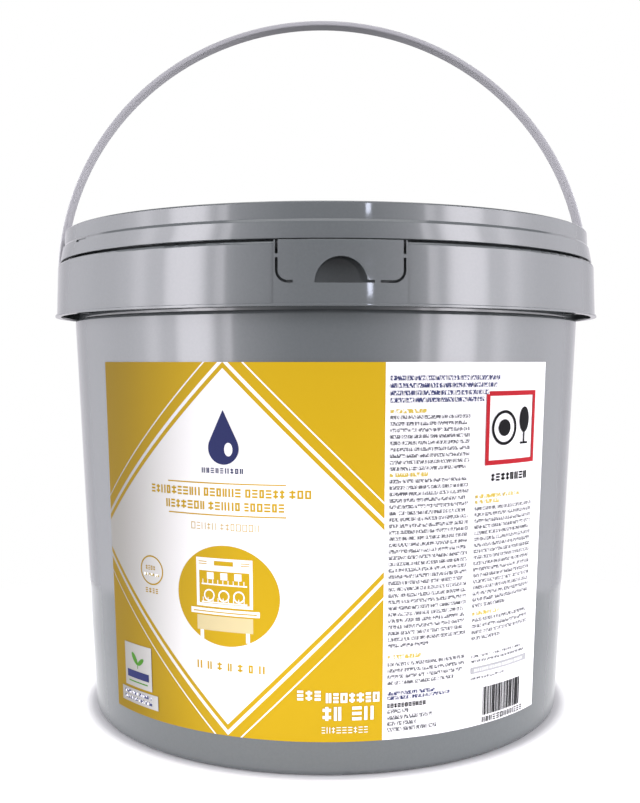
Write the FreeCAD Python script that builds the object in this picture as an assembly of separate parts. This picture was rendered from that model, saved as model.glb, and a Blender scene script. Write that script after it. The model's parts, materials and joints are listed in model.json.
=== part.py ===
import FreeCAD, Part
import math
import os

# A round plastic tub for dishwasher tablets: bucket, snap lid, bail, label and load.
# Lengths are millimetres. The origin is the middle of the base, +Z is up, -Y is the front,
# and the bail turns about a line along X.

# Bucket wall, measured on its outside
base_radius = 97.9
wall_slope = 0.0459
wall_thickness = 1.5
bucket_height = 192.0

# Base
floor_lift = 2.4
floor_thickness = 1.8
foot_ring_width = 4.0
foot_round = 2.2
floor_round = 2.2

# Bead round the rim, under which the lid snaps
rim_bead_drop = 3.8
rim_bead_height = 2.3
rim_bead_reach = 2.0
rim_bead_round = 0.7
rim_round = 0.6

# Ledge and the skirt that hangs from it
ledge_drop = 11.3
ledge_thickness = 1.5
ledge_reach = 7.2
skirt_height = 21.0
skirt_spread = 0.7
skirt_thickness = 1.6
skirt_round = 1.3
skirt_lip_reach = 0.6
skirt_lip_height = 0.9
skirt_lip_round = 0.3

# Neck above the round shoulder of the wall
shoulder_drop = 0.7
shoulder_step = 1.6
shoulder_round = 1.4
shoulder_wall_overlap = 0.4

# Raised panel at the front of the skirt, with the tear tab
panel_half_width = 21.75
panel_reach = 0.35
panel_round = 0.3
lid_gap_over_panel = 0.35
tab_side_margin = 0.95
tab_drop = 13.1
tab_slot_width = 0.9
tab_slot_depth = 6.4
tab_corner_radius = 3.7
tab_release_gap = 1.4
tab_back_relief = 0.15
thumb_opening_radius = 8.6
tab_web_left = 15.5
tab_web_right = 8.4
right_bridge_start = 10.9
right_bridge_width = 1.9
side_bridge_lift = 8.4
side_bridge_length = 1.2

# Ribs that stiffen the ledge on both sides of the ears
rib_angle = 61.0
rib_thickness = 1.2
rib_lift = 0.3

# Ears: a flat pad behind the skirt on each side with a hole for the bail's stud
pivot_drop = 12.7
ear_face_depth = 0.7
ear_pad_thickness = 2.1
ear_pad_half_width = 15.0
ear_pad_drop = 8.0
ear_relief = 0.9

# Bail: a half ellipse of strap that ends in two round eyes
bail_lip_gap = 0.8
bail_rise = 110.1
bail_leg = 8.5
bail_thickness = 2.2
bail_width = 7.0
bail_edge_round = 0.7
eye_radius = 5.4
stud_radius = 2.5
stud_hole_clearance = 0.06
stud_head_radius = 3.4
stud_head_length = 2.0
stud_head_gap = 0.35
stud_tip_radius = 2.0

# Lid
lid_seat_gap = 0.25
lid_top_thickness = 1.65
lid_ledge_gap = 0.8
lid_setback = 0.8
lid_flare_height = 5.7
lid_flare_reach = 1.1
lid_step_drop = 0.9
lid_step_reach = 0.65
lid_top_draft = 0.25
lid_wall_thickness = 1.4
lid_top_round = 0.8
lid_step_round = 0.4
lid_edge_round = 0.3
snap_bead_drop = 1.6
snap_bead_half_height = 1.3
snap_clearance = 0.35
plug_clearance = 0.35
plug_thickness = 1.4
plug_round = 0.8
lid_panel_depth = 8.7
lid_panel_thickness = 1.5
lid_inner_round = 1.6
plateau_margin = 13.4
plateau_rise = 1.5
lid_mark_angle = -58.0
lid_mark_length = 9.5
lid_mark_height = 0.8
lid_mark_depth = 0.5

# Label
label_thickness = 0.15
label_glue_gap = 0.12
label_bottom_height = 12.4
label_shoulder_gap = 17.3
label_left_angle = -54.2
label_right_angle = 48.7

# Tablets: full layers, less the few that the top layer is short of
tablet_layers = 9
top_layer_shortage = 3
tablet_length = 36.0
tablet_width = 26.0
tablet_height = 14.2
tablet_chamfer = 1.8
tablet_gap = 0.8
tablet_wall_gap = 0.6

# How far a cut reaches past the surface it opens, and how closely edges are picked
cut_margin = 1.0
pick_tolerance = 0.01

up = FreeCAD.Vector(0, 0, 1)
centre = FreeCAD.Vector(0, 0, 0)


def wall_radius(height):
    return base_radius + wall_slope * height


def neck_radius(height):
    return wall_radius(height) - shoulder_step


# Heights that follow from the rim
rim_bead_high = bucket_height - rim_bead_drop
rim_bead_low = rim_bead_high - rim_bead_height
ledge_height = bucket_height - ledge_drop
ledge_bottom = ledge_height - ledge_thickness
skirt_bottom_height = ledge_height - skirt_height
skirt_lip_top = skirt_bottom_height + skirt_lip_height
shoulder_height = skirt_bottom_height - shoulder_drop
tab_bottom_height = ledge_height - tab_drop
side_bridge_height = tab_bottom_height + side_bridge_lift
pivot_height = ledge_height - pivot_drop
lid_bottom_height = ledge_height + lid_ledge_gap
lid_ceiling_height = bucket_height + lid_seat_gap
lid_top_height = lid_ceiling_height + lid_top_thickness
floor_top = floor_lift + floor_thickness

# Radii and widths that follow from the wall
skirt_top_radius = neck_radius(ledge_height) + ledge_reach
skirt_bottom_radius = skirt_top_radius + skirt_spread
lip_radius = skirt_bottom_radius + skirt_lip_reach
ear_face = skirt_top_radius - ear_face_depth
bail_half_span = lip_radius + bail_lip_gap
rim_bead_radius = neck_radius(rim_bead_high) + rim_bead_reach
tab_half_width = panel_half_width - tab_side_margin
lid_bottom_radius = skirt_top_radius - lid_setback
lid_flare_top_radius = lid_bottom_radius - lid_flare_reach
lid_upper_radius = lid_flare_top_radius - lid_step_reach
lid_top_radius = lid_upper_radius - lid_top_draft


def skirt_radius(height):
    return skirt_top_radius + skirt_spread * (ledge_height - height) / skirt_height


def corner_arc(before, corner, after, radius):
    """Tangent arc of a given radius in a corner, as its first, middle and last point."""
    towards_before = (before - corner).normalize()
    towards_after = (after - corner).normalize()
    half_turn = towards_before.getAngle(towards_after) / 2
    reach = radius / math.tan(half_turn)
    bisector = (towards_before + towards_after).normalize()
    arc_centre = corner + bisector * (radius / math.sin(half_turn))
    first = corner + towards_before * reach
    middle = arc_centre - bisector * radius
    last = corner + towards_after * reach
    return first, middle, last


def outline(corners):
    """Closed face in the XZ plane from (x, z) or (x, z, corner radius)."""
    points = [FreeCAD.Vector(corner[0], 0, corner[1]) for corner in corners]
    radii = [corner[2] if len(corner) == 3 else 0 for corner in corners]
    stretches = []
    for index, point in enumerate(points):
        if radii[index] > 0:
            after = points[(index + 1) % len(points)]
            stretches.append(corner_arc(points[index - 1], point, after, radii[index]))
        else:
            stretches.append((point,))
    edges = []
    for index, stretch in enumerate(stretches):
        if len(stretch) == 3:
            edges.append(Part.Arc(*stretch).toShape())
        following = stretches[(index + 1) % len(stretches)]
        edges.append(Part.makeLine(stretch[-1], following[0]))
    return Part.Face(Part.Wire(edges))


def turned(corners):
    """Solid of revolution about Z of an outline with x as its radius."""
    return outline(corners).revolve(centre, up, 360)


def turned_sector(corners, first_angle, last_angle):
    """Part of such a solid, its angles counted from the front (-Y) towards +X."""
    solid = outline(corners).revolve(centre, up, last_angle - first_angle)
    solid.rotate(centre, up, first_angle - 90)
    return solid


def block(x_low, x_high, y_low, y_high, z_low, z_high):
    corner = FreeCAD.Vector(x_low, y_low, z_low)
    return Part.makeBox(x_high - x_low, y_high - y_low, z_high - z_low, corner)


def bucket_body():
    """Floor, wall, shoulder, neck and rim bead in one outline."""
    wall = wall_thickness
    inner_foot = base_radius - foot_ring_width
    shoulder_inside = shoulder_height - shoulder_wall_overlap
    return turned([
        (0, floor_lift),
        (inner_foot - floor_lift / 2, floor_lift),
        (inner_foot, 0),
        (base_radius, 0, foot_round),
        (wall_radius(shoulder_height), shoulder_height, shoulder_round),
        (neck_radius(shoulder_height), shoulder_height),
        (neck_radius(rim_bead_low), rim_bead_low),
        (rim_bead_radius, rim_bead_low, rim_bead_round),
        (rim_bead_radius, rim_bead_high, rim_bead_round),
        (neck_radius(rim_bead_high), rim_bead_high),
        (neck_radius(bucket_height), bucket_height, rim_round),
        (neck_radius(bucket_height) - wall, bucket_height, rim_round),
        (neck_radius(shoulder_inside) - wall, shoulder_inside),
        (wall_radius(shoulder_inside) - wall, shoulder_inside - wall),
        (wall_radius(floor_top) - wall, floor_top, floor_round),
        (0, floor_top),
    ])


def skirt():
    """Ledge, skirt wall and the small lip on its lower edge."""
    inside = wall_thickness / 2
    return turned([
        (neck_radius(ledge_bottom) - inside, ledge_bottom),
        (skirt_radius(ledge_bottom) - skirt_thickness, ledge_bottom),
        (skirt_bottom_radius - skirt_thickness, skirt_bottom_height),
        (lip_radius, skirt_bottom_height),
        (lip_radius, skirt_lip_top, skirt_lip_round),
        (skirt_radius(skirt_lip_top), skirt_lip_top),
        (skirt_top_radius, ledge_height, skirt_round),
        (neck_radius(ledge_height) - inside, ledge_height),
    ])


def front_panel():
    """Raised panel whose upper edge stands just under the lid."""
    low = skirt_bottom_height + skirt_lip_height / 2
    high = lid_bottom_height - lid_gap_over_panel
    buried = skirt_thickness / 2
    half_angle = math.degrees(math.asin(panel_half_width / skirt_bottom_radius))
    return turned_sector([
        (skirt_radius(low) - buried, low),
        (skirt_radius(low) + panel_reach, low),
        (skirt_radius(high) + panel_reach, high, panel_round),
        (skirt_radius(high) - buried, high),
    ], -half_angle, half_angle)


def rounded_frame(half_width, bottom, top, radius, y_low, y_high):
    """Block with its two lower corners rounded, seen from the front."""
    face = outline([
        (-half_width, top),
        (-half_width, bottom, radius),
        (half_width, bottom, radius),
        (half_width, top),
    ])
    solid = face.extrude(FreeCAD.Vector(0, y_high - y_low, 0))
    solid.translate(FreeCAD.Vector(0, y_low, 0))
    return solid


def tab_cuts():
    """Slots, thumb opening and release gap that free the tear tab, less its bridges and web."""
    y_low = -lip_radius - cut_margin
    y_high = -skirt_top_radius + tab_slot_depth
    top = lid_bottom_height
    half_slot = tab_slot_width / 2
    slots = rounded_frame(
        tab_half_width + half_slot, tab_bottom_height - half_slot, top,
        tab_corner_radius + half_slot, y_low, y_high,
    )
    slots = slots.cut(rounded_frame(
        tab_half_width - half_slot, tab_bottom_height + half_slot, top + cut_margin,
        tab_corner_radius - half_slot, y_low - cut_margin, y_high + cut_margin,
    ))
    slot_low = tab_bottom_height - tab_slot_width
    slot_high = tab_bottom_height + tab_slot_width
    bridge_end = right_bridge_start + right_bridge_width
    side_low = side_bridge_height - side_bridge_length / 2
    side_high = side_bridge_height + side_bridge_length / 2
    outside = tab_half_width + tab_slot_width
    for bridge in (
        block(-tab_web_left, -tab_web_right, y_low, y_high, slot_low, slot_high),
        block(right_bridge_start, bridge_end, y_low, y_high, slot_low, slot_high),
        block(-outside, outside, y_low, y_high, side_low, side_high),
    ):
        slots = slots.cut(bridge)
    opening = Part.makeCylinder(
        thumb_opening_radius, y_high - y_low,
        FreeCAD.Vector(0, y_low, tab_bottom_height - half_slot), FreeCAD.Vector(0, 1, 0),
    )
    opening = opening.common(block(
        -thumb_opening_radius, thumb_opening_radius, y_low, y_high,
        tab_bottom_height - half_slot, tab_bottom_height + thumb_opening_radius,
    ))
    return slots.fuse(opening)


def tab_release():
    """Gap between the ledge and the back of the tab."""
    outer = skirt_radius(ledge_height) - skirt_thickness + tab_back_relief
    inner = outer - tab_release_gap
    low = ledge_bottom - cut_margin
    high = lid_bottom_height
    half_angle = math.degrees(math.asin(tab_half_width / (outer - tab_release_gap / 2)))
    gap = [(inner, low), (outer, low), (outer, high), (inner, high)]
    return turned_sector(gap, -half_angle, half_angle)


def ledge_rib(angle):
    """Radial web from the neck to the skirt, under the ledge."""
    bottom = skirt_bottom_height + rib_lift
    top = ledge_height - ledge_thickness / 2
    half_wall = wall_thickness / 2
    web = outline([
        (neck_radius(bottom) - half_wall, bottom),
        (skirt_radius(bottom) - skirt_thickness / 2, bottom),
        (skirt_radius(top) - skirt_thickness / 2, top),
        (neck_radius(top) - half_wall, top),
    ]).extrude(FreeCAD.Vector(0, rib_thickness, 0))
    web.translate(FreeCAD.Vector(0, -rib_thickness / 2, 0))
    web.rotate(centre, up, angle - 90)
    return web


def ear_pad(side):
    """Thick flat stretch of the skirt that carries the stud hole."""
    inner_face = ear_face - ear_pad_thickness
    pad_low = pivot_height - ear_pad_drop
    pad = block(
        inner_face, skirt_bottom_radius, -ear_pad_half_width, ear_pad_half_width,
        pad_low, ledge_height - ledge_thickness / 2,
    )
    inside_skirt = Part.makeCone(
        skirt_radius(pad_low) - skirt_thickness / 2,
        skirt_radius(ledge_height) - skirt_thickness / 2,
        ledge_height - pad_low, FreeCAD.Vector(0, 0, pad_low),
    )
    pad = pad.common(inside_skirt)
    return pad if side > 0 else pad.mirror(centre, FreeCAD.Vector(1, 0, 0))


def ear_cuts(side):
    """Flat recess in front of the pad, and the stud hole through it."""
    half_width = math.sqrt(skirt_bottom_radius ** 2 - ear_face ** 2) + cut_margin
    recess = block(
        ear_face, skirt_bottom_radius + cut_margin, -half_width, half_width,
        pivot_height - eye_radius - ear_relief, ledge_height + cut_margin,
    )
    hole_start = ear_face - ear_pad_thickness - cut_margin
    hole = Part.makeCylinder(
        stud_radius + stud_hole_clearance, ear_pad_thickness + 2 * cut_margin,
        FreeCAD.Vector(hole_start, 0, pivot_height), FreeCAD.Vector(1, 0, 0),
    )
    cuts = recess.fuse(hole)
    return cuts if side > 0 else cuts.mirror(centre, FreeCAD.Vector(1, 0, 0))


def bucket():
    solid = bucket_body().fuse(skirt())
    solid = solid.fuse(front_panel())
    for angle in (rib_angle, 180 - rib_angle, -rib_angle, rib_angle - 180):
        solid = solid.fuse(ledge_rib(angle))
    for side in (1, -1):
        solid = solid.fuse(ear_pad(side))
        solid = solid.cut(ear_cuts(side))
    solid = solid.cut(tab_release())
    solid = solid.cut(tab_cuts())
    return solid.removeSplitter()


def lid():
    """Flared band, step, upper band, channel over the rim, plug wall and recessed panel in one outline."""
    wall = lid_wall_thickness
    step_bottom = lid_bottom_height + lid_flare_height
    step_top = step_bottom + lid_step_drop
    flare = lid_flare_reach / lid_flare_height
    bead_height = rim_bead_low - snap_bead_drop
    bead_low = bead_height - snap_bead_half_height
    bead_high = bead_height + snap_bead_half_height
    plug_outer = neck_radius(lid_bottom_height) - wall_thickness - plug_clearance
    plug_inner = plug_outer - plug_thickness
    panel_top = lid_top_height - lid_panel_depth
    panel_bottom = panel_top - lid_panel_thickness
    plateau_inner = plug_inner - plateau_margin - plateau_rise
    plateau_outer = plug_inner - plateau_margin + plateau_rise
    solid = turned([
        (0, panel_bottom + plateau_rise),
        (plateau_inner, panel_bottom + plateau_rise, lid_inner_round),
        (plateau_outer, panel_bottom, lid_inner_round),
        (plug_outer, panel_bottom, plug_round),
        (plug_outer, lid_ceiling_height),
        (lid_upper_radius - wall, lid_ceiling_height),
        (lid_upper_radius - wall, step_top - wall),
        (lid_flare_top_radius + flare * (step_bottom - bead_high) - wall, bead_high),
        (rim_bead_radius + snap_clearance, bead_height),
        (lid_flare_top_radius + flare * (step_bottom - bead_low) - wall, bead_low),
        (lid_bottom_radius - wall, lid_bottom_height),
        (lid_bottom_radius, lid_bottom_height, lid_edge_round),
        (lid_flare_top_radius, step_bottom, lid_step_round),
        (lid_upper_radius, step_top, lid_step_round),
        (lid_top_radius, lid_top_height, lid_top_round),
        (plug_inner, lid_top_height, lid_top_round),
        (plug_inner, panel_top, lid_inner_round),
        (plateau_outer, panel_top, lid_inner_round),
        (plateau_inner, panel_top + plateau_rise, lid_inner_round),
        (0, panel_top + plateau_rise),
    ])
    return solid.cut(lid_mark(step_bottom))


def lid_mark(high):
    """Short shallow slot under the step."""
    low = high - lid_mark_height
    inner = lid_flare_top_radius - lid_mark_depth
    outer = lid_flare_top_radius + cut_margin
    half_angle = math.degrees(lid_mark_length / 2 / lid_flare_top_radius)
    corners = [(inner, low), (outer, low), (outer, high), (inner, high)]
    return turned_sector(corners, lid_mark_angle - half_angle, lid_mark_angle + half_angle)


def half_ellipse(half_span, rise):
    """Upper half of an ellipse in the XZ plane, a half circle stretched upwards."""
    half_circle = Part.Arc(
        FreeCAD.Vector(half_span, 0, 0), FreeCAD.Vector(0, 0, half_span), FreeCAD.Vector(-half_span, 0, 0),
    ).toShape()
    stretch = FreeCAD.Matrix()
    stretch.scale(1, 1, rise / half_span)
    arch = half_circle.transformGeometry(stretch)
    arch.translate(FreeCAD.Vector(0, 0, pivot_height + bail_leg))
    return arch


def bail_strap():
    """Arched strap with its long edges rounded, and straight legs down to the eyes."""
    inner_span = bail_half_span - bail_thickness
    leg_top = pivot_height + bail_leg
    outer_arch = half_ellipse(bail_half_span, bail_rise)
    inner_arch = half_ellipse(inner_span, bail_rise - bail_thickness)
    edges = [outer_arch, inner_arch]
    for side in (1, -1):
        outer_top = FreeCAD.Vector(side * bail_half_span, 0, leg_top)
        outer_foot = FreeCAD.Vector(side * bail_half_span, 0, pivot_height)
        inner_foot = FreeCAD.Vector(side * inner_span, 0, pivot_height)
        inner_top = FreeCAD.Vector(side * inner_span, 0, leg_top)
        edges.append(Part.makeLine(outer_top, outer_foot))
        edges.append(Part.makeLine(outer_foot, inner_foot))
        edges.append(Part.makeLine(inner_foot, inner_top))
    face = Part.Face(Part.Wire(Part.__sortEdges__(edges)))
    strap = face.extrude(FreeCAD.Vector(0, bail_width, 0))
    strap.translate(FreeCAD.Vector(0, -bail_width / 2, 0))
    foot = pivot_height + pick_tolerance
    long_edges = [
        edge for edge in strap.Edges
        if edge.BoundBox.YLength < pick_tolerance and edge.BoundBox.ZMax > foot
    ]
    return strap.makeFillet(bail_edge_round, long_edges)


def bail_end(side):
    """Eye, stud and arrow-shaped head, on the +X side or mirrored."""
    inner_face = bail_half_span - bail_thickness
    along = FreeCAD.Vector(1, 0, 0)
    eye = Part.makeCylinder(
        eye_radius, bail_thickness, FreeCAD.Vector(inner_face, 0, pivot_height), along,
    )
    outer_rim = [edge for edge in eye.Edges if edge.BoundBox.XMin > inner_face + pick_tolerance]
    eye = eye.makeFillet(bail_edge_round, outer_rim)
    head_base = ear_face - ear_pad_thickness - stud_head_gap
    stud = Part.makeCylinder(
        stud_radius, inner_face + bail_thickness / 2 - head_base,
        FreeCAD.Vector(head_base, 0, pivot_height), along,
    )
    head = Part.makeCone(
        stud_tip_radius, stud_head_radius, stud_head_length,
        FreeCAD.Vector(head_base - stud_head_length, 0, pivot_height), along,
    )
    end = eye.fuse(stud).fuse(head)
    return end if side > 0 else end.mirror(centre, along)


def bail_handle():
    solid = bail_strap()
    for side in (1, -1):
        solid = solid.fuse(bail_end(side))
    return solid.removeSplitter()


def label():
    """Printed film round the front of the wall."""
    low = label_bottom_height
    high = shoulder_height - label_shoulder_gap
    back = label_glue_gap
    face = label_glue_gap + label_thickness
    return turned_sector([
        (wall_radius(low) + back, low),
        (wall_radius(low) + face, low),
        (wall_radius(high) + face, high),
        (wall_radius(high) + back, high),
    ], label_left_angle, label_right_angle)


def tablet_places(length, width, radius):
    """Places in one layer whose whole tablet lies within the radius, the middle ones first."""
    pitch_x = length + tablet_gap
    pitch_y = width + tablet_gap
    columns = int(radius // pitch_x) + 1
    rows = int(radius // pitch_y) + 1
    places = []
    for column in range(-columns, columns + 1):
        for row in range(-rows, rows + 1):
            x = column * pitch_x
            y = row * pitch_y
            if math.hypot(abs(x) + length / 2, abs(y) + width / 2) < radius:
                places.append((math.hypot(x, y), x, y))
    return [(x, y) for _, x, y in sorted(places)]


def tablets():
    """Layers of equal tablets, each layer lying crosswise on the one below."""
    radius = wall_radius(floor_top) - wall_thickness - floor_round - tablet_wall_gap
    solids = []
    for layer in range(tablet_layers):
        crosswise = layer % 2 == 1
        length = tablet_width if crosswise else tablet_length
        width = tablet_length if crosswise else tablet_width
        height = floor_top + layer * tablet_height
        places = tablet_places(length, width, radius)
        if layer == tablet_layers - 1:
            places = places[:-top_layer_shortage]
        for x, y in places:
            tablet = block(
                x - length / 2, x + length / 2, y - width / 2, y + width / 2,
                height, height + tablet_height,
            )
            solids.append(tablet.makeChamfer(tablet_chamfer, tablet.Edges))
    return Part.makeCompound(solids)


os.makedirs("parts", exist_ok=True)
nodes = {
    "bucket": bucket(),
    "lid": lid(),
    "bail_handle": bail_handle(),
    "label": label(),
    "tablets": tablets(),
}
for name, shape in nodes.items():
    shape.exportStep(f"parts/{name}.step")
    box = shape.optimalBoundingBox()
    print(
        name, "valid", shape.isValid(), "solids", len(shape.Solids), "cm3", round(shape.Volume / 1000, 2),
        "low", round(box.XMin, 2), round(box.YMin, 2), round(box.ZMin, 2),
        "high", round(box.XMax, 2), round(box.YMax, 2), round(box.ZMax, 2),
    )
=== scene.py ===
# %% [markdown]
# A tub of dishwasher tablets, as it stands on a shelf: a moulded bucket, a snap lid, a swinging
# bail and a printed label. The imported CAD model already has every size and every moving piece. This
# lesson dresses it: first the camera and the light, then the plastics, then the label with its
# print, one ink at a time.

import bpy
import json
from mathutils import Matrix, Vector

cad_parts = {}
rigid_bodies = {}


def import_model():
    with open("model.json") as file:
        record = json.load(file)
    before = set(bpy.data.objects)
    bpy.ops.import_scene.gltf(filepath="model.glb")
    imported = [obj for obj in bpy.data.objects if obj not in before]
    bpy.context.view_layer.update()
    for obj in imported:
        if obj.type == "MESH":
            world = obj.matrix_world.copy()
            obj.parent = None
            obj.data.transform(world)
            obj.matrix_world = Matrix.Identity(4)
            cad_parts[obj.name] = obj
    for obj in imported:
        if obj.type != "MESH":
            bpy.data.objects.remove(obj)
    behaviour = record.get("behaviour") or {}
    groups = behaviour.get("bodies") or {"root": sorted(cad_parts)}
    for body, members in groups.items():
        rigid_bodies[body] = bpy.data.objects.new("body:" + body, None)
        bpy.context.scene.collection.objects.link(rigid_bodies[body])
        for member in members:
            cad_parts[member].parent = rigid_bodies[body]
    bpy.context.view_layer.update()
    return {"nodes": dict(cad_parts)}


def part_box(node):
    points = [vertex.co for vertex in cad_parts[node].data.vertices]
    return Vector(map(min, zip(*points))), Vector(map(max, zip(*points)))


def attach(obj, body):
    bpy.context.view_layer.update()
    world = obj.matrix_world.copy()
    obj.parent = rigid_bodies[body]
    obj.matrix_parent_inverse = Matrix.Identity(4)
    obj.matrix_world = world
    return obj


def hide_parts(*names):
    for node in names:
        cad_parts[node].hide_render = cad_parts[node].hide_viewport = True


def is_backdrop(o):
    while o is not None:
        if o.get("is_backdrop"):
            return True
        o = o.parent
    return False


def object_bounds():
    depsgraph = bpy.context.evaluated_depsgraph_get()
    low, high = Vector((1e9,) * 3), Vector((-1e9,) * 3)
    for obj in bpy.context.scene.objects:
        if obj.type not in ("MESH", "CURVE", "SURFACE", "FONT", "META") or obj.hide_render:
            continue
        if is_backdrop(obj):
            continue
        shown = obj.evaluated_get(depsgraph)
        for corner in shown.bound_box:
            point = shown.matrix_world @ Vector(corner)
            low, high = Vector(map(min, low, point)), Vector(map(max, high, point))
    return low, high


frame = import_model()

# %% [markdown]
# Colours on paper, such as a hex code from a swatch, are sRGB. Shaders count in linear light, so
# one function turns them over. A second function adds a node, sets its sockets and wires it up,
# which keeps each material short enough to read as a recipe. A Mix node shows sockets of one name
# for numbers, vectors and colours, so its colour sockets are reached by their places in the list.

# %% Colours and nodes
import bpy

MM = 0.001
FIRST_COLOUR = 6
SECOND_COLOUR = 7
MIXED_COLOUR = 2


def hex_colour(code):
    """Linear colour of an sRGB hex code such as "#787a7c"."""
    channels = [int(code[start:start + 2], 16) / 255 for start in (1, 3, 5)]
    linear = [c / 12.92 if c <= 0.04045 else ((c + 0.055) / 1.055) ** 2.4 for c in channels]
    return (*linear, 1.0)


def add_node(material, kind, sockets=None, **settings):
    """A new node with its settings. A socket takes a number, a colour or a node's output."""
    node = material.node_tree.nodes.new(kind)
    for name, value in settings.items():
        setattr(node, name, value)
    for name, value in (sockets or {}).items():
        if isinstance(value, bpy.types.NodeSocket):
            material.node_tree.links.new(value, node.inputs[name])
        else:
            node.inputs[name].default_value = value
    return node


def new_material(name):
    material = bpy.data.materials.new(name)
    material.use_nodes = True
    material.node_tree.nodes.clear()
    return material


def set_surface(material, **sockets):
    """Ends a material with its shader. Names are written with _ for a space, as in Base_Color."""
    named = {name.replace("_", " "): value for name, value in sockets.items()}
    shader = add_node(material, "ShaderNodeBsdfPrincipled", named)
    add_node(material, "ShaderNodeOutputMaterial", {"Surface": shader.outputs["BSDF"]})
    print("material", material.name, "has", len(material.node_tree.nodes), "nodes")


def deselect_all():
    """An operator acts on all that is selected, and a loaded frame is selected all over."""
    bpy.ops.object.select_all(action="DESELECT")


# %% [markdown]
# The photograph is taken from close up, a little to the left of the tub's front and at the height
# of its neck, so the lid's edge curves up and the foot curves down. The lens is worked out from the
# focal length in pixels, and a small shift puts the tub's axis where the picture has it.

# %% Camera
import math

picture_height_px = 803
picture_centre_px = 320
tub_axis_px = 325.9
focal_px = 1001.1
sensor_width_mm = 36
nearest_seen = 10 * MM
eye_distance = 434.6 * MM
eye_height = 141.7 * MM
look_aside = math.radians(2.5)
look_down = math.radians(2.26)

deselect_all()
eye_place = (
    -eye_distance * math.sin(look_aside),
    -eye_distance * math.cos(look_aside),
    eye_height,
)
bpy.ops.object.camera_add(
    location=eye_place, rotation=(math.pi / 2 - look_down, 0, -look_aside),
)
camera = bpy.context.object
camera.name = "front_camera"
camera.data.lens = focal_px * sensor_width_mm / picture_height_px
camera.data.sensor_width = sensor_width_mm
camera.data.shift_x = (picture_centre_px - tub_axis_px) / picture_height_px
camera.data.clip_start = nearest_seen
bpy.context.scene.camera = camera
print("lens", round(camera.data.lens, 2), "mm, shift", round(camera.data.shift_x, 4))

# %% [markdown]
# A glossy grey tub shows what stands round it more than it shows its own colour. In such a studio
# two tall white screens stand to the left and right. They reach round to the sides and are
# brightest where the softboxes behind them are, so the wall, the skirt and the lid get pale bands
# there, while the front stays calm. Here the screens are part of the surroundings: a ramp gives how
# bright they are at each angle from the camera's side. Below and above the screens the room is dim.
# Behind the tub they reach further down. The camera itself sees plain white.

# %% Surroundings
side_screens = (
    (0, 0.1), (12, 0.2), (20, 0.55), (30, 1.2), (36, 1.75), (39.5, 2.6), (41.5, 5.6),
    (44, 5.3), (45.5, 4.4), (47.5, 4.8), (49.5, 7.2), (52, 9.2), (57, 9.7), (64, 9.0),
    (66, 7.9), (68.5, 5.5), (74, 5.2), (79, 6.1), (82, 5.6), (87, 4.1), (95, 3.1),
    (105, 2.45), (115, 2.0), (125, 1.5), (140, 0.8), (160, 0.7),
)
right_behind = 0.5
brightest = 10.0
room_light = 0.16
screens_middle = math.radians(-2.2)
screens_low = math.radians(-9.5)
screens_foot = math.radians(-30)
foot_begins = math.radians(85)
foot_reached = math.radians(100)
screens_high = math.radians(31)
screens_edge = math.radians(3)
screens_fade = math.radians(6)


def world_sum(world, operation, *terms):
    """Output of a Math node in the surroundings' node tree."""
    sockets = dict(enumerate(terms))
    return add_node(world, "ShaderNodeMath", sockets, operation=operation).outputs[0]


def screens_ramp(world, aside):
    """Brightness of the screens, as a share of the brightest, at each angle aside."""
    share = world_sum(world, "DIVIDE", aside, math.pi)
    ramp = add_node(world, "ShaderNodeValToRGB", {"Fac": share})
    stops = ramp.color_ramp.elements
    stops[1].position = 1
    stops[1].color = (*[right_behind / brightest] * 3, 1)
    for angle, radiance in side_screens:
        stop = stops[0] if angle == 0 else stops.new(angle / 180)
        stop.color = (*[radiance / brightest] * 3, 1)
    print("screens with", len(stops), "stops")
    return ramp.outputs["Color"]


def screens_height(world, aside, rise):
    """Brightest between the screens' lower and upper edge, 0 past them, soft at both."""
    bottom = add_node(
        world, "ShaderNodeMapRange",
        {
            "Value": aside, "From Min": foot_begins, "From Max": foot_reached,
            "To Min": screens_low, "To Max": screens_foot,
        },
    )
    over = world_sum(world, "SUBTRACT", rise, bottom.outputs[0])
    above = add_node(
        world, "ShaderNodeMapRange",
        {"Value": over, "From Min": -screens_fade, "From Max": screens_fade},
        interpolation_type="SMOOTHSTEP",
    )
    below = add_node(
        world, "ShaderNodeMapRange",
        {
            "Value": rise,
            "From Min": screens_high - screens_edge, "From Max": screens_high + screens_edge,
            "To Min": brightest, "To Max": 0.0,
        },
        interpolation_type="SMOOTHSTEP",
    )
    return world_sum(world, "MULTIPLY", above.outputs[0], below.outputs[0])


def white_studio():
    world = bpy.data.worlds.new("white_studio")
    world.use_nodes = True
    world.node_tree.nodes.clear()
    direction = add_node(world, "ShaderNodeTexCoord").outputs["Generated"]
    axes = add_node(world, "ShaderNodeSeparateXYZ", {"Vector": direction})
    forward = world_sum(world, "MULTIPLY", axes.outputs["Y"], -1.0)
    azimuth = world_sum(world, "ARCTAN2", axes.outputs["X"], forward)
    turned = world_sum(world, "SUBTRACT", azimuth, screens_middle)
    aside = world_sum(world, "ABSOLUTE", turned)
    rise = world_sum(world, "ARCSINE", axes.outputs["Z"])
    height = screens_height(world, aside, rise)
    screens = world_sum(world, "MULTIPLY_ADD", screens_ramp(world, aside), height, room_light)
    light = add_node(
        world, "ShaderNodeBackground", {"Color": hex_colour("#fbf8ff"), "Strength": screens},
    )
    paper = add_node(
        world, "ShaderNodeBackground", {"Color": hex_colour("#ffffff"), "Strength": 1.0},
    )
    seen = add_node(world, "ShaderNodeLightPath").outputs["Is Camera Ray"]
    both = add_node(
        world, "ShaderNodeMixShader", {0: seen, 1: light.outputs[0], 2: paper.outputs[0]},
    )
    add_node(world, "ShaderNodeOutputWorld", {"Surface": both.outputs[0]})
    print("surroundings have", len(world.node_tree.nodes), "nodes")
    return world


bpy.context.scene.world = white_studio()
bpy.context.scene.view_settings.view_transform = "Standard"

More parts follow.
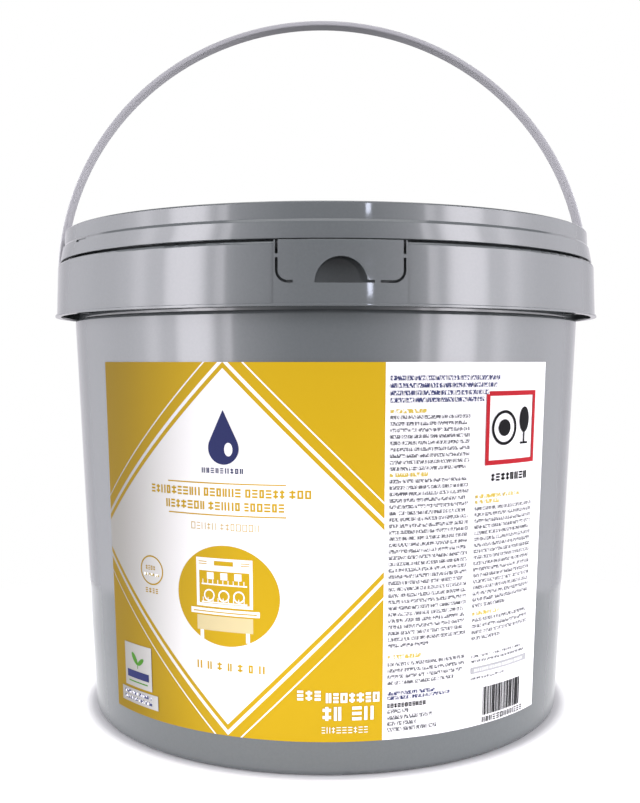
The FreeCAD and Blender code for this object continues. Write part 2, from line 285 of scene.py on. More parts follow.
# %% [markdown]
# One large softbox overhead lights the lid and every upper edge. Two short strip lamps in front on
# the right give the thin bright ticks on the lid and the skirt. The tub stands on a small round
# table of white acrylic whose glow is painted light, which keeps its shadow faint. The painted glow
# is strongest just outside the foot, where it fills in the tub's shadow on the table, and stops short
# of the foot's rounded edge. The table fades out towards its rim, so that the edge of its reflection
# in the wall is soft.

# %% Lamps and table
table_radius = 276 * MM
table_solid = 246 * MM
painted_light_by_foot = 0.6
glow_outside = 0.38
glow_from = 98 * MM
glow_full = 104 * MM
glow_level = 180 * MM


def studio_light(name, azimuth, elevation, distance, width, height, radiance, colour="#ffffff"):
    """A flat rectangular light that faces the tub. Azimuth counts from the front towards +X."""
    aim_height = 150 * MM
    turn = math.radians(azimuth)
    rise = math.radians(elevation)
    place = (
        distance * math.cos(rise) * math.sin(turn),
        -distance * math.cos(rise) * math.cos(turn),
        aim_height + distance * math.sin(rise),
    )
    deselect_all()
    bpy.ops.object.light_add(
        type="AREA", location=place, rotation=(math.pi / 2 - rise, 0, turn),
    )
    light = bpy.context.object
    light.name = name
    light.data.shape = "RECTANGLE"
    light.data.size = width
    light.data.size_y = height
    light.data.color = hex_colour(colour)[:3]
    light.data.energy = radiance * math.pi * width * height
    print("light", name, round(light.data.energy, 1), "W")


studio_light("ceiling_softbox", 0, 90, 1.35, 1.3, 1.3, 1.6)
studio_light("strip_lamp_low", 13.9, 8.1, 1.55, 0.05, 0.045, 16.0, "#e4eaff")
studio_light("strip_lamp_high", 13.9, 15.5, 1.55, 0.05, 0.09, 16.0, "#e4eaff")

deselect_all()
bpy.ops.mesh.primitive_circle_add(vertices=128, radius=table_radius, fill_type="NGON")
floor = bpy.context.object
floor.name = "product_table"
floor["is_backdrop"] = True


def acrylic_with_painted_glow():
    material = new_material("white_acrylic_with_painted_glow")
    place = add_node(material, "ShaderNodeTexCoord").outputs["Object"]
    distance = add_node(
        material, "ShaderNodeVectorMath", {0: place}, operation="LENGTH",
    ).outputs["Value"]
    strength = add_node(
        material, "ShaderNodeMapRange",
        {
            "Value": distance, "From Min": glow_full, "From Max": glow_level,
            "To Min": painted_light_by_foot, "To Max": glow_outside,
        },
        interpolation_type="SMOOTHSTEP",
    )
    # Painted light: the table's glow is strongest by the foot, where it fills in the tub's shadow.
    painted_glow = add_node(
        material, "ShaderNodeMapRange",
        {
            "Value": distance, "From Min": glow_from, "From Max": glow_full,
            "To Min": 0.0, "To Max": strength.outputs["Result"],
        },
        interpolation_type="SMOOTHSTEP",
    )
    edge = add_node(
        material, "ShaderNodeMapRange",
        {
            "Value": distance, "From Min": table_solid, "From Max": table_radius,
            "To Min": 1.0, "To Max": 0.0,
        },
        interpolation_type="SMOOTHSTEP",
    )
    set_surface(
        material, Base_Color=hex_colour("#e4e4e5"), Roughness=0.9,
        Emission_Color=hex_colour("#ffffff"), Emission_Strength=painted_glow.outputs["Result"],
        Alpha=edge.outputs["Result"],
    )
    return material


floor.data.materials.append(acrylic_with_painted_glow())

# %% [markdown]
# The bucket and the lid are injection moulded from grey polypropylene, which is partly recycled. It
# leaves a polished mould with a smooth skin, so it has clear reflections with soft edges. Its index
# of refraction is 1.49. Two things keep it from looking like glass: the skin sinks a little as the
# wall cools, which bends the reflections, and tiny specks of older plastic show through.

# %% Moulded polypropylene
sink_width = 28 * MM
speck_width = 0.9 * MM
gloss_change = 0.01


def moulded_plastic(name, colour, speck_colour, roughness, sink_depth):
    material = new_material(name)
    place = add_node(material, "ShaderNodeTexCoord").outputs["Object"]
    sink = add_node(
        material, "ShaderNodeTexNoise",
        {"Vector": place, "Scale": 1 / sink_width, "Detail": 2.0, "Roughness": 0.45},
    )
    grain = add_node(
        material, "ShaderNodeTexNoise",
        {"Vector": place, "Scale": 1 / speck_width, "Detail": 3.0, "Roughness": 0.6},
    )
    tint = add_node(
        material, "ShaderNodeMapRange",
        {"Value": grain.outputs["Fac"], "From Min": 0.35, "From Max": 0.75},
    )
    colours = add_node(
        material, "ShaderNodeMix",
        {
            "Factor": tint.outputs["Result"],
            FIRST_COLOUR: hex_colour(colour), SECOND_COLOUR: hex_colour(speck_colour),
        },
        data_type="RGBA",
    )
    gloss = add_node(
        material, "ShaderNodeMapRange",
        {
            "Value": grain.outputs["Fac"],
            "To Min": roughness - gloss_change, "To Max": roughness + gloss_change,
        },
    )
    waves = add_node(
        material, "ShaderNodeBump",
        {"Height": sink.outputs["Fac"], "Distance": sink_depth, "Strength": 1.0},
    )
    set_surface(
        material, Base_Color=colours.outputs[MIXED_COLOUR], Roughness=gloss.outputs["Result"],
        IOR=1.49, Specular_IOR_Level=0.65, Normal=waves.outputs["Normal"],
    )
    return material


tub_plastic = moulded_plastic(
    "grey_moulded_polypropylene", "#5a5e5f", "#5d6162", 0.055, 0.02 * MM,
)
bail_plastic = moulded_plastic(
    "satin_moulded_polypropylene", "#9a9a9d", "#9c9c9f", 0.45, 0.01 * MM,
)

# %% [markdown]
# A CAD node arrives as loose triangles. A copy of it is merged into one skin, its flat and round
# faces shade smoothly and its edges stay crisp, and the copy then stands for the node. A glossy
# round wall shows every uneven triangle as a wave in its reflections. The bucket and the lid are
# turned shapes, so more is known of their true normals: they point straight away from the axis, and
# all round a ring of one radius and height they slope alike. The skins' normals are set so. What
# isn't turned, such as a rib or the tab's slots, keeps its own.

# %% Bucket, lid and bail
from mathutils import Vector

MERGE_DISTANCE = 0.002 * MM
CREASE_ANGLE = math.radians(52)
LARGEST_TURN = math.radians(6)
LEAST_LEVEL = 0.05
RING_STEP = 0.02 * MM
LARGEST_GAP = math.radians(12)


def shade_like_moulding(piece):
    """Smooth shading in which large faces stay true and only the small rounded edges bend."""
    bpy.ops.object.shade_smooth_by_angle(angle=CREASE_ANGLE)
    weights = piece.modifiers.new("large_faces_first", "WEIGHTED_NORMAL")
    weights.mode = "FACE_AREA_WITH_ANGLE"
    weights.keep_sharp = True
    bpy.ops.object.modifier_apply(modifier=weights.name)


def turned_rings(mesh):
    """Face corners whose normals point away from the axis, by ring: slope, index and direction."""
    rings = {}
    for index, (corner, loop) in enumerate(zip(mesh.corner_normals, mesh.loops)):
        normal = corner.vector
        place = mesh.vertices[loop.vertex_index].co
        away = Vector((place.x, place.y, 0)).normalized()
        level = Vector((normal.x, normal.y, 0))
        along = level.dot(away)
        if level.length > LEAST_LEVEL and abs(along) > level.length * math.cos(LARGEST_TURN):
            radius = Vector((place.x, place.y)).length
            slope = math.atan2(normal.z, math.copysign(level.length, along))
            ring = (round(radius / RING_STEP), round(place.z / RING_STEP))
            rings.setdefault(ring, []).append((slope, index, away))
    return rings


def faces_of_ring(corners):
    """Splits a ring's corners where their slopes part, to keep the sides of an edge apart."""
    corners = sorted(corners, key=lambda corner: corner[0])
    groups = [corners[:1]]
    for corner in corners[1:]:
        if corner[0] - groups[-1][-1][0] > LARGEST_GAP:
            groups.append([])
        groups[-1].append(corner)
    return groups


def true_to_axis(piece):
    """Points a turned surface's normals away from the axis, with one slope round each ring."""
    mesh = piece.data
    normals = [corner.vector.copy() for corner in mesh.corner_normals]
    rings = turned_rings(mesh)
    for corners in rings.values():
        for group in faces_of_ring(corners):
            slope = group[len(group) // 2][0]
            for _, index, away in group:
                normals[index] = away * math.cos(slope) + Vector((0, 0, math.sin(slope)))
    mesh.normals_split_custom_set(normals)
    turned = sum(len(corners) for corners in rings.values())
    print(piece.name, "has", turned, "of", len(normals), "normals true to the axis")


def dressed_copy(node, body, material):
    """A merged and smoothed copy of a CAD node that stands for it."""
    deselect_all()
    source = frame["nodes"][node]
    piece = bpy.data.objects.new(node + "_skin", source.data.copy())
    bpy.context.scene.collection.objects.link(piece)
    bpy.context.view_layer.objects.active = piece
    piece.select_set(True)
    bpy.ops.object.mode_set(mode="EDIT")
    bpy.ops.mesh.select_all(action="SELECT")
    bpy.ops.mesh.customdata_custom_splitnormals_clear()
    bpy.ops.mesh.remove_doubles(threshold=MERGE_DISTANCE)
    bpy.ops.object.mode_set(mode="OBJECT")
    shade_like_moulding(piece)
    piece.data.materials.clear()
    piece.data.materials.append(material)
    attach(piece, body)
    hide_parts(node)
    print(piece.name, len(piece.data.polygons), "faces")
    return piece


true_to_axis(dressed_copy("bucket", "tub", tub_plastic))
true_to_axis(dressed_copy("lid", "lid", tub_plastic))

# %% [markdown]
# The bail is one moulding: a flat strap with rounded long edges, which ends in two eyes with studs.
# The eyes and the straight legs are a copy of the CAD node, cut off at the top of the legs. The
# arch above them is modelled afresh, because even rings shade more smoothly than the node's uneven
# triangles: the strap's rounded section is spun through half a turn and pressed a little flatter.

# %% Bail
leg_top = 176.5 * MM
strap_width = 7 * MM
strap_thickness = 2.2 * MM
strap_round = 0.7 * MM
arch_steps = 112
hair = 0.005 * MM
bail_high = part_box("bail_handle")[1]


def spin_arch():
    """The strap's section, spun from one leg to the other. Works in edit mode."""
    start = (bail_high[0] - strap_thickness / 2 - hair, 0, leg_top)
    bpy.ops.mesh.primitive_plane_add(size=1, location=start)
    bpy.ops.transform.resize(value=(strap_thickness, strap_width, 1), center_override=start)
    bpy.ops.mesh.bevel(offset=strap_round, segments=5, affect="VERTICES")
    bpy.ops.mesh.spin(steps=arch_steps, angle=math.pi, center=(0, 0, leg_top), axis=(0, 1, 0))
    bpy.ops.mesh.select_linked()
    flatter = (bail_high[2] - leg_top - hair) / (bail_high[0] - hair)
    bpy.ops.transform.resize(value=(1, 1, flatter), center_override=(0, 0, leg_top))


bail = dressed_copy("bail_handle", "bail", bail_plastic)
bpy.ops.object.mode_set(mode="EDIT")
bpy.ops.mesh.select_all(action="SELECT")
bpy.ops.mesh.bisect(
    plane_co=(0, 0, leg_top), plane_no=(0, 0, 1), clear_outer=True, use_fill=True,
)
bpy.ops.mesh.select_all(action="DESELECT")
spin_arch()
bpy.ops.mesh.select_all(action="DESELECT")
bpy.ops.mesh.select_non_manifold()
bpy.ops.mesh.edge_face_add()
bpy.ops.mesh.select_all(action="SELECT")
bpy.ops.mesh.normals_make_consistent(inside=False)
bpy.ops.mesh.customdata_custom_splitnormals_clear()
bpy.ops.object.mode_set(mode="OBJECT")
shade_like_moulding(bail)
bail_top = max(vertex.co.z for vertex in bail.data.vertices)
print("bail has", len(bail.data.polygons), "faces, top at", round(bail_top / MM, 2), "mm")

# %% [markdown]
# The load is pressed powder: pale, dull and speckled with blue grains. Only a few millimetres of it
# could ever be seen through the thumb opening, so the CAD solids keep their shape and take the
# finish as they are.

# %% Pressed powder
grain_spacing = 1.2 * MM
pit_depth = 0.15 * MM


def pressed_powder():
    material = new_material("pressed_detergent_powder")
    place = add_node(material, "ShaderNodeTexCoord").outputs["Object"]
    specks = add_node(
        material, "ShaderNodeTexVoronoi",
        {"Vector": place, "Scale": 1 / grain_spacing, "Randomness": 1.0},
    )
    blue = add_node(
        material, "ShaderNodeMapRange",
        {
            "Value": specks.outputs["Distance"], "From Min": 0.22, "From Max": 0.3,
            "To Min": 1.0, "To Max": 0.0,
        },
    )
    colours = add_node(
        material, "ShaderNodeMix",
        {
            "Factor": blue.outputs["Result"],
            FIRST_COLOUR: hex_colour("#f1f3f5"), SECOND_COLOUR: hex_colour("#7fa9d6"),
        },
        data_type="RGBA",
    )
    pits = add_node(
        material, "ShaderNodeBump",
        {"Height": specks.outputs["Distance"], "Distance": pit_depth, "Strength": 0.6},
    )
    set_surface(
        material, Base_Color=colours.outputs[MIXED_COLOUR], Roughness=0.85, IOR=1.45,
        Normal=pits.outputs["Normal"],
    )
    return material


tablets = frame["nodes"]["tablets"]
tablets.data.materials.clear()
tablets.data.materials.append(pressed_powder())

# %% [markdown]
# The label is one sheet of plastic film, wrapped round the front of the wall. Everything on it is
# laid out flat first, in millimetres: across counts from the front line of the tub, and up counts
# from its base. A rectangle is given by its left, right, low and high edge. Each ink is then cut
# into narrow strips and wrapped on the wall, a hair above the film, so the print follows the
# curve. The wall widens upwards, and a straight sheet covers a smaller angle of it there, so the
# angle shrinks a little with height. The flat places are kept as an attribute for the inks.

# %% Laying out flat and wrapping on the wall
base_radius = 97.9
wall_slope = 0.0459
film_face = 0.27
label_left = -96.0
label_right = 86.2
label_low = 12.4
label_high = 141.7
label_middle = (label_low + label_high) / 2
middle_radius = base_radius + wall_slope * label_middle
paper_flare = 0.00023
strip_width = 3.0
ink_step = 0.03


def wall_point(across, up, lift):
    """Point in metres that lies lift millimetres off the wall, and where the wall faces."""
    azimuth = across / middle_radius * (1 - paper_flare * (up - label_middle))
    radius = base_radius + wall_slope * up + lift
    point = (radius * math.sin(azimuth) * MM, -radius * math.cos(azimuth) * MM, up * MM)
    facing = (math.sin(azimuth), -math.cos(azimuth), -wall_slope)
    return point, facing


def start_sheet(name):
    """An empty mesh in edit mode, ready for flat shapes."""
    deselect_all()
    bpy.ops.mesh.primitive_plane_add()
    sheet = bpy.context.object
    sheet.name = name
    bpy.ops.object.mode_set(mode="EDIT")
    bpy.ops.mesh.delete(type="VERT")
    return sheet


def bar(left, right, low, high):
    """Rectangle, laid out in millimetres."""
    middle = ((left + right) / 2, (low + high) / 2, 0)
    bpy.ops.mesh.primitive_plane_add(size=1, location=middle)
    bpy.ops.transform.resize(value=(right - left, high - low, 1), center_override=middle)


def disc(across, up, half_width, half_height, corners=48):
    """Filled ellipse, or a shape of few corners whose first corner is at the top."""
    bpy.ops.mesh.primitive_circle_add(
        vertices=corners, radius=1, fill_type="NGON", location=(across, up, 0),
    )
    bpy.ops.transform.resize(value=(half_width, half_height, 1), center_override=(across, up, 0))


def ring(across, up, half_width, half_height, line, corners=48):
    """Outline of an ellipse: a disc whose middle is inset and taken out."""
    disc(across, up, half_width, half_height, corners)
    bpy.ops.mesh.inset(thickness=line)
    bpy.ops.mesh.delete(type="FACE")


def rhombus(across, up, half_width, half_height):
    """An upright diamond: a disc with four corners."""
    disc(across, up, half_width, half_height, 4)


def trim(left, right, low, high):
    """Cuts off what reaches past a rectangle."""
    cuts = (
        ((left, 0, 0), (-1, 0, 0)), ((right, 0, 0), (1, 0, 0)),
        ((0, low, 0), (0, -1, 0)), ((0, high, 0), (0, 1, 0)),
    )
    for place, outwards in cuts:
        bpy.ops.mesh.select_all(action="SELECT")
        bpy.ops.mesh.bisect(plane_co=place, plane_no=outwards, clear_outer=True)


def wrap_sheet(sheet, layer, material):
    """Cuts the sheet into narrow strips, wraps it on the wall and lets it ride with the tub."""
    cut = math.ceil(label_left / strip_width) * strip_width
    while cut < label_right:
        bpy.ops.mesh.select_all(action="SELECT")
        bpy.ops.mesh.bisect(plane_co=(cut, 0, 0), plane_no=(1, 0, 0))
        cut += strip_width
    bpy.ops.object.mode_set(mode="OBJECT")
    mesh = sheet.data
    flat = mesh.attributes.new("flat", "FLOAT_VECTOR", "POINT")
    facings = []
    for vertex in mesh.vertices:
        across, up, _ = vertex.co
        flat.data[vertex.index].vector = (across * MM, up * MM, 0)
        vertex.co, facing = wall_point(across, up, film_face + layer * ink_step)
        facings.append(facing)
    bpy.ops.object.shade_smooth()
    mesh.normals_split_custom_set_from_vertices(facings)
    mesh.materials.append(material)
    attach(sheet, "tub")
    print(sheet.name, len(mesh.polygons), "faces on layer", layer)


# %% [markdown]
# The film and its inks are matt print: pigment under a thin clear varnish. One recipe serves every
# ink. Each ink's colour carries painted shade: it darkens towards the label's left edge, standing in
# for less light there. Words too small to read are bars as long as words, broken into upright strokes
# of the size of letters, which is how print of that size looks from a step away.

# %% Printing inks
painted_shade_end = -22.0
between_letters = "#e9e9e9"
letter_solid = 0.47
letter_open = 0.62


def printing_ink(name, colour, painted_shade_colour, stroke=None):
    """Ink whose colour turns to painted shade at the left. stroke is the pitch of small letters."""
    material = new_material(name)
    flat = add_node(material, "ShaderNodeAttribute", attribute_name="flat").outputs["Vector"]
    across = add_node(material, "ShaderNodeSeparateXYZ", {"Vector": flat}).outputs["X"]
    # Painted shade: the colour darkens towards the label's left edge, standing in for less light
    # there.
    painted_shade = add_node(
        material, "ShaderNodeMapRange",
        {
            "Value": across, "From Min": label_left * MM, "From Max": painted_shade_end * MM,
            "To Min": 1.0, "To Max": 0.0,
        },
        interpolation_type="SMOOTHSTEP",
    )
    colours = add_node(
        material, "ShaderNodeMix",
        {
            "Factor": painted_shade.outputs["Result"],
            FIRST_COLOUR: hex_colour(colour), SECOND_COLOUR: hex_colour(painted_shade_colour),
        },
        data_type="RGBA",
    ).outputs[MIXED_COLOUR]
    if stroke:
        upright = add_node(
            material, "ShaderNodeVectorMath",
            {0: flat, 1: (1 / (stroke * MM), 0.5 / (stroke * MM), 0)}, operation="MULTIPLY",
        ).outputs["Vector"]
        letters = add_node(
            material, "ShaderNodeTexNoise",
            {"Vector": upright, "Scale": 1.0, "Detail": 1.0, "Roughness": 0.6},
        )
        gaps = add_node(
            material, "ShaderNodeMapRange",
            {"Value": letters.outputs["Fac"], "From Min": letter_solid, "From Max": letter_open},
        )
        colours = add_node(
            material, "ShaderNodeMix",
            {
                "Factor": gaps.outputs["Result"],
                FIRST_COLOUR: colours, SECOND_COLOUR: hex_colour(between_letters),
            },
            data_type="RGBA",
        ).outputs[MIXED_COLOUR]
    set_surface(material, Base_Color=colours, Roughness=0.5, IOR=1.47, Specular_IOR_Level=0.04)
    return material


# The second colour of each ink is its painted shade at the left edge.
white_film = printing_ink("white_polypropylene_film", "#ececec", "#808085")
white_ink = printing_ink("white_matt_ink", "#ececea", "#807f7a")
yellow_ink = printing_ink("yellow_matt_ink", "#b8971c", "#78621b")
pale_ink = printing_ink("pale_yellow_matt_ink", "#cabc90", "#837a5c")
navy_ink = printing_ink("navy_matt_ink", "#2b2f55", "#2b2f55")
black_ink = printing_ink("black_matt_ink", "#141416", "#141416")
grey_ink = printing_ink("grey_matt_ink", "#a3a4a6", "#a3a4a6")
red_ink = printing_ink("red_matt_ink", "#a52029", "#a52029")
green_ink = printing_ink("green_matt_ink", "#4f8a2f", "#3f6d28")
fine_navy = printing_ink("navy_ink_in_small_print", "#383c60", "#383c60", 0.6)
fine_yellow = printing_ink("yellow_ink_in_small_print", "#bba545", "#74682e", 0.8)
fine_grey = printing_ink("grey_ink_in_small_print", "#5c5d60", "#5c5d60", 0.48)

# %% [markdown]
# The film itself is a rectangle, so it shows as a sheet that is stuck on. It stands for the plain
# CAD label.

# %% Label film
film = start_sheet("label_film")
bar(label_left, label_right, label_low, label_high)
wrap_sheet(film, 0, white_film)
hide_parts("label")

# %% [markdown]
# The print is a yellow field on the left with a large white diamond. Four outlines step away from
# the diamond: a narrow yellow stripe, a thick white line, a wide yellow stripe and a thin white
# line. Laid one on the other from the back, they need only five diamonds, each a little smaller
# than the one before. The steps say how much taller each is than the innermost one.

# %% Yellow field and white diamond
panel_edge = 15.2
diamond_across = -39.3
diamond_up = 78.1
diamond_half_width = 61.6
diamond_half_height = 61.6
outline_steps = (9.4, 8.7, 3.8, 2.1, 0)


def field_layer(name, layer, material, half_height):
    """One diamond of the given half height, trimmed to the yellow field."""
    sheet = start_sheet(name)
    half_width = half_height * diamond_half_width / diamond_half_height
    rhombus(diamond_across, diamond_up, half_width, half_height)
    trim(label_left, panel_edge, label_low, label_high)
    wrap_sheet(sheet, layer, material)


yellow_field = start_sheet("yellow_field")
bar(label_left, panel_edge, label_low, label_high)
wrap_sheet(yellow_field, 1, yellow_ink)
for number, step in enumerate(outline_steps):
    ink = yellow_ink if number % 2 else white_ink
    name = "diamond_yellow" if number % 2 else "diamond_white"
    field_layer(f"{name}_{number + 1}", 2 + number, ink, diamond_half_height + step)

# %% [markdown]
# The words on this label are placeholders. A large word is a row of upright marks that stand where
# letters would: a frame, a double bar, a stem with two ticks, or three short bars. A small line of
# print is a row of bars as long as words. The random draws are seeded, so every run gives the same
# print.

# %% Placeholder words
import random

random.seed(150)
print_layer = 7
detail_layer = 8
top_layer = 9
navy_layer = 10
glint_layer = 11
word_gap = 0.6
narrow_letter = 0.52
usual_letter = 0.63
wide_letter = 0.74
space = 0.35


def frame_mark(left, right, low, high, line):
    """Rectangular frame of four bars."""
    bar(left, left + line, low, high)
    bar(right - line, right, low, high)
    bar(left + line, right - line, low, low + line)
    bar(left + line, right - line, high - line, high)


def mock_letter(left, right, low, high, line):
    """One mark as large as a letter, which is none of the alphabet's."""
    height = high - low
    kind = random.randrange(4)
    if kind == 0:
        frame_mark(left, right, low, high, line)
    elif kind == 1:
        bar(left, left + line, low, high)
        bar(right - line, right, low, high)
    elif kind == 2:
        middle = (left + right) / 2
        bar(middle - line / 2, middle + line / 2, low, high)
        for share in (0.24, 0.76):
            level = low + share * height
            bar(left, middle - line / 2, level - line / 2, level + line / 2)
            bar(middle + line / 2, right, level - line / 2, level + line / 2)
    else:
        for share in (0, 0.5, 1):
            level = low + share * (height - line)
            bar(left, right, level, level + line)


def mock_word(left, low, high, letters, weight, spacing=0.25):
    """A row of marks. Weight is a mark's line and spacing the gap, as shares of the height."""
    height = high - low
    edge = left
    for _ in range(letters):
        width = random.uniform(narrow_letter, wide_letter) * height
        mock_letter(edge, edge + width, low, high, weight * height)
        edge += width + spacing * height
    return edge


def mock_line(left, right, low, high, weight, spacing=0.25):
    """Words of random length from left to right."""
    pitch = (usual_letter + spacing) * (high - low)
    edge = left
    while edge < right - 2 * pitch:
        letters = min(random.randint(3, 9), round((right - edge) / pitch))
        edge = mock_word(edge, low, high, letters, weight, spacing) + space * (high - low)


# %% [markdown]
# Small print is drawn coarser than it is: one bar to a word. The ink's letter strokes break the
# bars up.

# %% Small print
shortest_word = 1.6
longest_word = 6.2


def small_line(left, right, low, height):
    """One line of small print: bars as long as words."""
    edge = left
    while edge < right - 1:
        stop = min(edge + random.uniform(shortest_word, longest_word), right)
        bar(edge, stop, low, low + height)
        edge = stop + word_gap


def paragraph(left, right, high, lines, last, pitch=2.17, height=1.25):
    """Lines of small print from the top down. The last one fills only a share of the width."""
    for line in range(lines):
        reach = left + (right - left) * last if line == lines - 1 else right
        small_line(left, reach, high - line * pitch, height)


# %% [markdown]
# The diamond holds a title between two rules, a line under it, a spaced word at its foot and a ring
# with a few marks at its left. They are one sheet of yellow ink. The headings of the panel are
# small print in yellow: each is a square bullet with bars as long as words.

# %% Yellow print
first_column = 16.9
second_column = 49.5
bullet = 1.1
bullet_indent = 2
bullet_raise = 0.1
heading_height = 1.4


def heading(left, low, word_lengths):
    """A bullet and a few bars as long as the words of a heading."""
    bar(left, left + bullet, low + bullet_raise, low + bullet_raise + bullet)
    edge = left + bullet_indent
    for length in word_lengths:
        bar(edge, edge + length, low, low + heading_height)
        edge += length + word_gap


title = start_sheet("yellow_title")
bar(-61.9, -17.6, 100.3, 100.75)
bar(-61.9, -17.6, 89.35, 89.8)
mock_line(-69.7, -9.9, 96.0, 98.9, 0.22, 0.2)
mock_line(-63.0, -16.2, 91.3, 94.2, 0.22, 0.2)
mock_line(-52.3, -27.1, 84.4, 86.8, 0.1)
mock_word(-51.0, 35.4, 38.2, 7, 0.22, 0.78)
ring(-71.2, 67.5, 5.8, 5.4, 0.55)
mock_word(-74.2, 67.6, 69.2, 4, 0.2)
mock_word(-74.6, 59.2, 61.0, 4, 0.22, 0.35)
wrap_sheet(title, print_layer, yellow_ink)

headings = start_sheet("yellow_headings")
small_line(-75.2, -67.4, 65.4, 1.0)
heading(first_column, 124.6, (10.6,))
heading(first_column, 103.1, (4.6, 6.4))
heading(first_column, 40.6, (10.2,))
heading(second_column, 94.2, (10.5, 9.5))
heading(second_column, 92.3, (1.6, 7.0))
heading(second_column, 52.6, (5.6, 4.8))
wrap_sheet(headings, print_layer, fine_yellow)

# %% [markdown]
# The round picture is a plain drawing of an open dishwasher: a white case with its control strip,
# two racks with cups and plates inside, the door folded down in front, and two feet.

# %% Round picture
case_left = -50.6
case_right = -29.4
case_top = 74.6
strip_low = case_top - 3.4
case_floor = 57.6
wire_count = 9
wire_pitch = 1.94
rack_line = 0.45

picture = start_sheet("picture_disc")
disc(-39.2, 61.6, 19.3, 17.6, 96)
wrap_sheet(picture, print_layer, yellow_ink)

case = start_sheet("picture_case")
frame_mark(case_left, case_right, case_floor, strip_low, 1.1)
bar(case_left, case_right, strip_low, case_top)
bar(case_left - 2.4, case_right + 2.4, 54.9, 56.9)
for foot in (case_left + 1.2, case_right - 2.6):
    bar(foot, foot + 1.4, 45.8, 49.2)
for rack in (58.9, 65.2):
    bar(case_left + 2, case_right - 2, rack, rack + rack_line)
    for wire in range(wire_count):
        edge = case_left + 2.4 + wire * wire_pitch
        bar(edge, edge + 0.3, rack + rack_line, rack + 1.9)
for plate in (-45.6, -40.0, -34.4):
    ring(plate, 61.6, 2.1, 2.1, 0.5, 32)
for cup in (-46.4, -41.2, -36.0):
    bar(cup, cup + 2.6, 67.2, 69.6)
wrap_sheet(case, detail_layer, white_ink)

door = start_sheet("picture_door")
bar(case_left, case_right, 49.2, 54.4)
wrap_sheet(door, detail_layer, pale_ink)

controls = start_sheet("picture_controls")
bar(-43.6, -36.4, 72.1, 73.7)
for row in (72.3, 73.1):
    bar(-49.6, -46.4, row, row + 0.3)
    bar(-33.6, -30.4, row, row + 0.3)
bar(case_left - 1.4, case_right + 1.4, 55.6, 56.0)
wrap_sheet(controls, top_layer, yellow_ink)

# %% [markdown]
# Above the title stands a plain navy drop with a row of marks under it. The drop is a disc with a
# triangle on it. Its outline is smooth where the triangle's sides just touch the disc, and the
# angle at which they do follows from the disc's radius and the tip's distance. A triangle drawn as
# a circle of three corners has its middle a third of its height above its base, and its base is as
# wide as the circle times the cosine of 30 degrees. The bold lines at the top of the panel and a
# few lines lower down are small print in navy.

# %% Navy print
drop_across = -39.4
drop_up = 112.6
drop_radius = 5.6
drop_tip = 13.0
touch_angle = math.acos(drop_radius / drop_tip)
touch_aside = drop_radius * math.sin(touch_angle)
touch_up = drop_radius * math.cos(touch_angle)
third = (drop_tip - touch_up) / 3
three_corners = math.cos(math.radians(30))

navy = start_sheet("navy_print")
disc(drop_across, drop_up, drop_radius, drop_radius)
disc(drop_across, drop_up + touch_up + third, touch_aside / three_corners, 2 * third, 3)
mock_word(-47.6, 104.0, 105.8, 9, 0.2, 0.38)
bar(-87.4, -74.4, 25.6, 28.4)
wrap_sheet(navy, navy_layer, navy_ink)

glint = start_sheet("drop_glint")
disc(drop_across + 1.9, drop_up - 0.4, 1.5, 2.3, 24)
wrap_sheet(glint, glint_layer, white_ink)

bold_lines = start_sheet("navy_small_print")
for low, right in ((135.6, 59.3), (133.1, 58.0), (130.6, 54.5), (128.2, 52.3)):
    small_line(first_column, right, low, 1.6)
for low, right in ((28.0, 36.0), (26.4, 42.0)):
    small_line(first_column, right, low, 1.2)
for low in (19.2, 17.0):
    small_line(-89.8, -73.0, low, 1.3)
wrap_sheet(bold_lines, navy_layer, fine_navy)

# %% [markdown]
# At the lower left are two small white boxes, one with a leaf over a navy bar. At the lower right
# of the field are three rows of white marks. The leaf is two narrow discs, each turned about its
# own middle.

# %% White boxes, leaf and white lines
white_print = start_sheet("white_boxes")
bar(-88.9, -72.8, 22.3, 38.5)
bar(-91.6, -69.8, 15.9, 21.3)
mock_word(-14.2, 27.0, 30.4, 3, 0.24)
mock_word(-4.4, 26.2, 29.6, 7, 0.24, 0.2)
mock_word(-5.5, 20.0, 24.8, 2, 0.22, 0.2)
mock_word(4.6, 20.0, 24.8, 2, 0.22, 0.2)
mock_word(-5.8, 15.6, 17.7, 9, 0.12)
wrap_sheet(white_print, detail_layer, white_ink)

leaf = start_sheet("green_leaf")
for across, up, length, tilt in ((-82.6, 33.0, 2.7, 38), (-79.0, 32.2, 2.2, -52)):
    disc(across, up, 0.4 * length, length, 24)
    bpy.ops.transform.rotate(
        value=math.radians(-tilt), orient_axis="Z", center_override=(across, up, 0),
    )
bar(-81.1, -80.7, 29.4, 31.6)
bar(-86.6, -75.2, 24.0, 24.5)
wrap_sheet(leaf, top_layer, green_ink)

# %% [markdown]
# The panel is set in two columns of small grey print. A grey strip with a row of white marks stands
# near the foot of the right one.

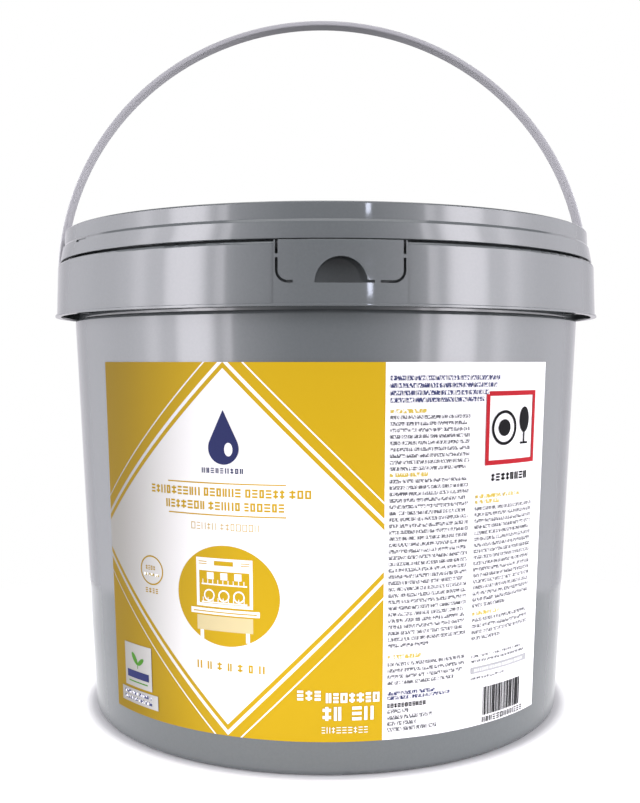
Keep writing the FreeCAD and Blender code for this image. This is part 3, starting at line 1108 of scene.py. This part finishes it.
# %% Grey small print
grey = start_sheet("grey_small_print")
paragraph(first_column, 46.5, 122.6, 9, 0.95)
paragraph(first_column, 46.5, 101.0, 27, 0.5)
paragraph(first_column, 46.5, 38.1, 4, 0.85)
for low, right in ((21.6, 24.6), (19.4, 33.6), (17.3, 27.4), (15.2, 35.4)):
    small_line(first_column, right, low, 1.4)
paragraph(second_column, 79.0, 90.0, 17, 0.55, 2.15)
paragraph(second_column, 79.0, 50.4, 4, 0.5, 2.2)
small_line(second_column, 75.5, 37.4, 0.9)
small_line(second_column, 78.0, 35.6, 0.9)
small_line(second_column, 66.0, 29.4, 0.9)
wrap_sheet(grey, print_layer, fine_grey)

strip = start_sheet("grey_strip")
bar(second_column, 79.5, 31.6, 34.0)
wrap_sheet(strip, print_layer, grey_ink)
strip_words = start_sheet("grey_strip_words")
mock_line(51.0, 78.5, 32.3, 33.3, 0.2)
wrap_sheet(strip_words, detail_layer, white_ink)

# %% [markdown]
# The right column has a red frame at its top, with a plate and a glass in black, and a bar code at
# its foot. The code is bars and gaps of random widths, so it stands for no number.

# %% Black print and red frame
code_right = 75.6
bar_widths = (0.22, 0.22, 0.45, 0.68)
gap_widths = (0.24, 0.24, 0.48)

black = start_sheet("black_print")
mock_word(56.6, 99.9, 102.6, 8, 0.24, 0.27)
mock_word(first_column, 23.6, 25.1, 8, 0.26)
mock_word(27.4, 23.6, 25.1, 3, 0.26)
edge = 55.5
while edge < code_right:
    width = random.choice(bar_widths)
    bar(edge, edge + width, 15.6, 26.0)
    edge += width + random.choice(gap_widths)
mock_word(55.4, 13.0, 15.0, 12, 0.2, 0.3)
ring(62.4, 118.6, 6.2, 6.2, 1.1)
disc(62.4, 118.6, 3.0, 3.0, 32)
disc(73.0, 121.2, 2.7, 4.6, 32)
bar(72.6, 73.4, 113.2, 117.2)
bar(70.9, 75.1, 112.4, 113.2)
wrap_sheet(black, print_layer, black_ink)

red = start_sheet("red_frame")
frame_mark(53.4, 79.4, 105.6, 131.6, 1.7)
wrap_sheet(red, print_layer, red_ink)

# %% [markdown]
# Last, the box of all that shows is found. It should agree with the box of the CAD model, because a
# skin or an ink that sticks out would make the tub larger than it is.

# %% The box of all that shows
import json

low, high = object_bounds()
